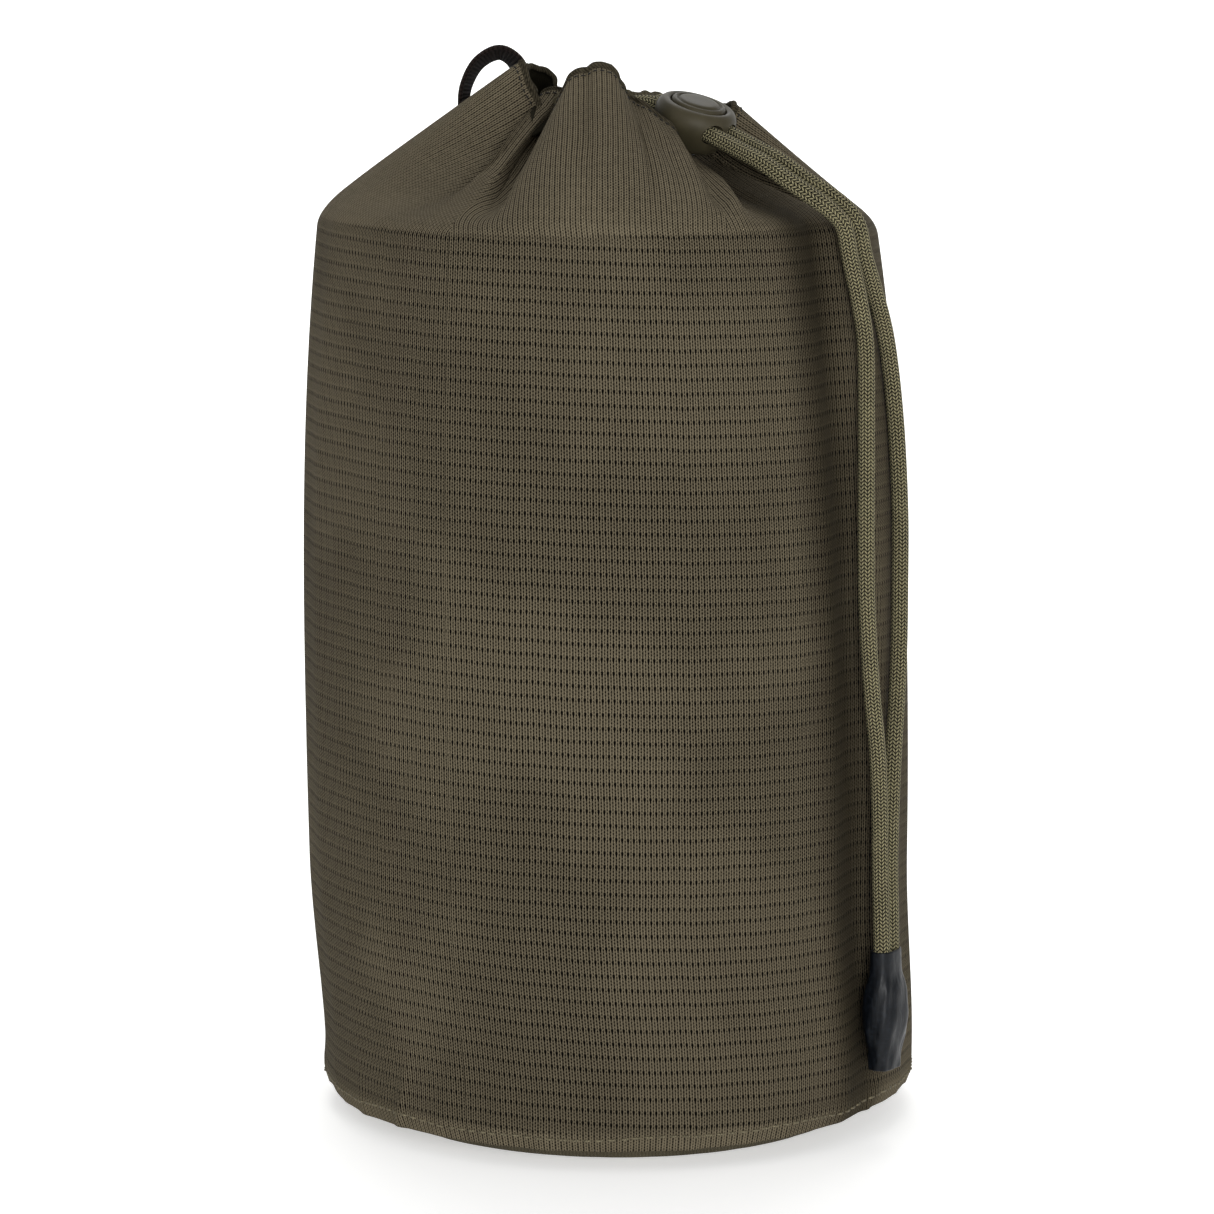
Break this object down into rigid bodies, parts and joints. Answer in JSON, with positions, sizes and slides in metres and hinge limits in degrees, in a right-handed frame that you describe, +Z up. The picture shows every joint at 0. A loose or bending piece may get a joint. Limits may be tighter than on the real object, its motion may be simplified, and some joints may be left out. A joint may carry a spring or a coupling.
{
  "type": "drawstring stuff sack",
  "caption": "Cylindrical knitted-mesh stuff sack with a round base, a drawcord mouth gathered shut, a sliding push-button cord lock, a sleeved cord end and a webbing hang loop.",
  "frame": {"origin": "centre of the base, on the surface that the sack stands on", "axes": "+Z up the sack, -Y to its front, +X to its right, where the cords hang"},
  "size_m": [0.1628, 0.1626, 0.2858],
  "materials": {
    "mesh_fabric": "knitted mesh, matte",
    "binding_tape": "woven tape, matte",
    "thread": "twisted polyester thread",
    "cord": "braided sheath, matte",
    "shrink_sleeve": "satin",
    "lock_plastic": "fine moulded texture",
    "spring_steel": "drawn wire",
    "webbing": "narrow woven webbing"
  },
  "bodies": {
    "sack": {"body_panel": "mesh_fabric", "base_panel": "mesh_fabric", "base_seam_binding": "binding_tape", "side_seam_binding": "binding_tape", "base_stitch_thread": "thread", "cord_tunnel": "mesh_fabric", "drawcord_neck_loop": "cord", "drawcord_leg_left": "cord", "drawcord_leg_right": "cord", "stopper_knot": "cord", "drawcord_tail_left": "cord", "drawcord_tail_right": "cord", "cord_end_sleeve": "shrink_sleeve", "loop_bartack_outer": "thread", "loop_bartack_inner": "thread"},
    "lock": {"lock_body": "lock_plastic", "lock_spring": "spring_steel"},
    "button": {"lock_button": "lock_plastic"},
    "loop": {"hang_loop": "webbing"}
  },
  "joints": [
    {"name": "lock_slide", "type": "slide", "parent": "sack", "child": "lock", "axis": [0.6983, -0.6288, -0.342], "range_m": [0, 0.016]},
    {"name": "button_press", "type": "slide", "parent": "lock", "child": "button", "axis": [-0.2542, 0.2289, -0.9397], "range_m": [0, 0.0016], "stiffness_N_per_m": 2500, "springref_m": -0.0008, "deforming": ["lock_spring"]},
    {"name": "loop_fold", "type": "hinge", "parent": "sack", "child": "loop", "pos_m": [-0.0311, 0.0095, 0.2665], "axis": [0.9432, 0, 0.3321], "range_deg": [-20, 12]}
  ]
}
